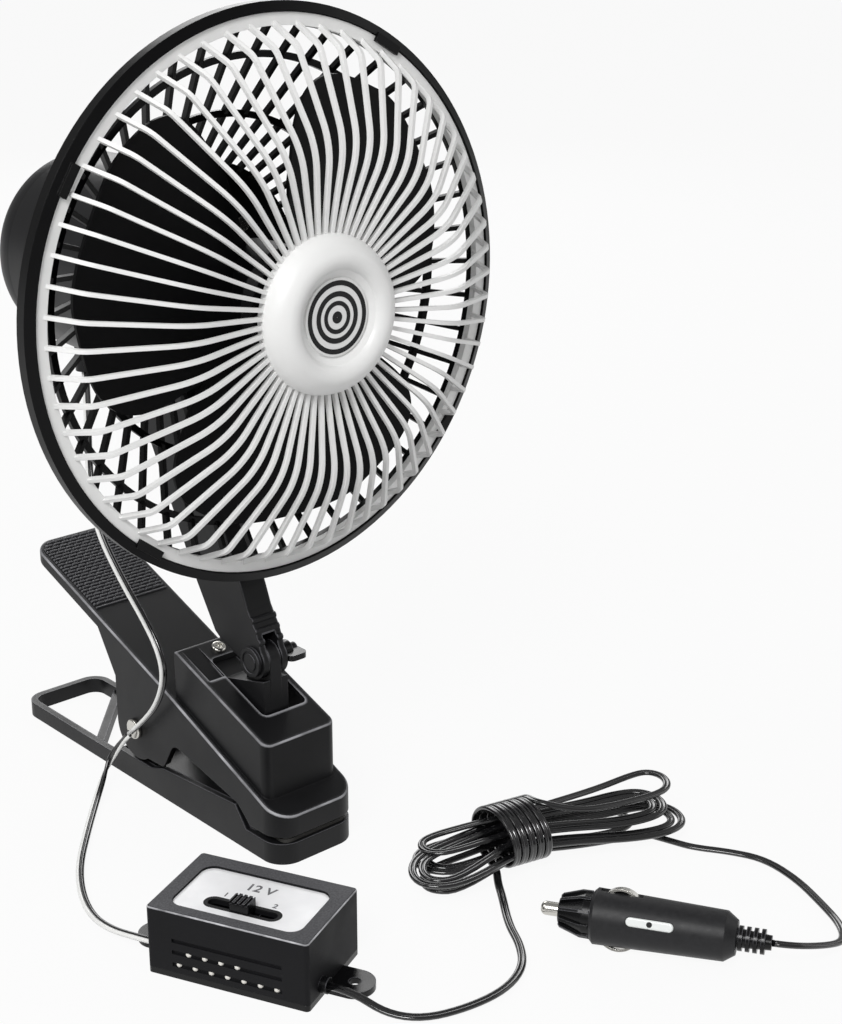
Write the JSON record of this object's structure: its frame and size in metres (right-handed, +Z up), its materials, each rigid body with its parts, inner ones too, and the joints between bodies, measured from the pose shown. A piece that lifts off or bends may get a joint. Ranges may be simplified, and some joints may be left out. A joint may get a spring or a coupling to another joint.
{
  "type": "clip-on car fan",
  "caption": "Clip-on twelve-volt car fan: guarded three-blade head on a leaning neck, sprung clip, in-line switch box and lighter plug on a bundled cord.",
  "frame": {"origin": "on the floor under the clip's hinge pin, at the middle of the clip's width", "axes": "+Z up, -Y the way the fan blows, +X to the right seen from behind the fan"},
  "size_m": [0.2365, 0.3787, 0.3322],
  "materials": {
    "black_moulded_plastic": "satin injection-moulded",
    "grey_moulded_plastic": "satin injection-moulded",
    "badge_plastic": "printed and lacquered",
    "bright_steel": "nickel plated",
    "spring_steel": "drawn wire",
    "motor_steel": "zinc plated",
    "bronze_bush": "sintered",
    "pad_rubber": "moulded",
    "label_foil": "printed foil",
    "white_ceramic": "glazed cement",
    "cord_vinyl": "extruded vinyl",
    "fuse_glass": "clear"
  },
  "bodies": {
    "base": {"lower_jaw": "black_moulded_plastic", "hinge_pin": "bright_steel", "torsion_spring": "spring_steel", "lower_pad": "pad_rubber", "box_base": "black_moulded_plastic", "box_cover": "black_moulded_plastic", "label_plate": "label_foil", "switch_body": "black_moulded_plastic", "ceramic_resistor": "white_ceramic", "box_screws": "bright_steel", "box_grommets": "cord_vinyl", "cord_mid": "cord_vinyl", "cord_out": "cord_vinyl", "cord_hank": "cord_vinyl", "cord_lead": "cord_vinyl", "plug_body": "black_moulded_plastic", "plug_cap": "black_moulded_plastic", "tip_spring": "spring_steel", "side_contacts": "bright_steel", "strain_relief": "black_moulded_plastic", "pilot_lens": "fuse_glass"},
    "upper_clip": {"upper_jaw": "black_moulded_plastic", "upper_pad": "pad_rubber", "pivot_post": "black_moulded_plastic", "post_screw": "bright_steel", "cord_head": "cord_vinyl"},
    "head": {"neck": "black_moulded_plastic", "tilt_bolt": "black_moulded_plastic", "friction_washers": "pad_rubber", "rear_guard": "black_moulded_plastic", "front_grille": "grey_moulded_plastic", "hub_badge": "badge_plastic", "motor_cover": "black_moulded_plastic", "motor_plate": "motor_steel", "guard_screws": "bright_steel", "motor_can": "motor_steel", "motor_bushes": "bronze_bush", "cord_gland": "cord_vinyl"},
    "fan": {"fan_blade": "black_moulded_plastic", "motor_shaft": "motor_steel", "blade_nut": "black_moulded_plastic"},
    "tilt_nut": {"wing_nut": "black_moulded_plastic"},
    "knob": {"switch_knob": "black_moulded_plastic"},
    "tip": {"plug_tip": "bright_steel", "plug_fuse": "fuse_glass"}
  },
  "joints": [
    {"name": "clip_open", "type": "hinge", "parent": "base", "child": "upper_clip", "pos_m": [0, 0, 0.026], "axis": [-1, 0, 0], "range_deg": [0, 22], "stiffness_Nm_per_rad": 2, "springref_deg": -28.65, "deforming": ["torsion_spring"]},
    {"name": "head_tilt", "type": "hinge", "parent": "upper_clip", "child": "head", "pos_m": [0, -0.066, 0.075], "axis": [1, 0, 0], "range_deg": [-30, 25], "deforming": ["cord_head"]},
    {"name": "fan_spin", "type": "hinge", "parent": "head", "child": "fan", "pos_m": [0, -0.083, 0.224], "axis": [0, -1, 0], "continuous": true},
    {"name": "tilt_nut_turn", "type": "hinge", "parent": "head", "child": "tilt_nut", "pos_m": [0.009, -0.066, 0.075], "axis": [1, 0, 0], "continuous": true},
    {"name": "switch_slide", "type": "slide", "parent": "base", "child": "knob", "axis": [0.4171, -0.9089, 0], "range_m": [-0.008, 0.008]},
    {"name": "tip_press", "type": "slide", "parent": "base", "child": "tip", "axis": [0.5223, -0.8527, 0], "range_m": [0, 0.0025], "stiffness_N_per_m": 800, "springref_m": -0.003, "deforming": ["tip_spring"]}
  ]
}
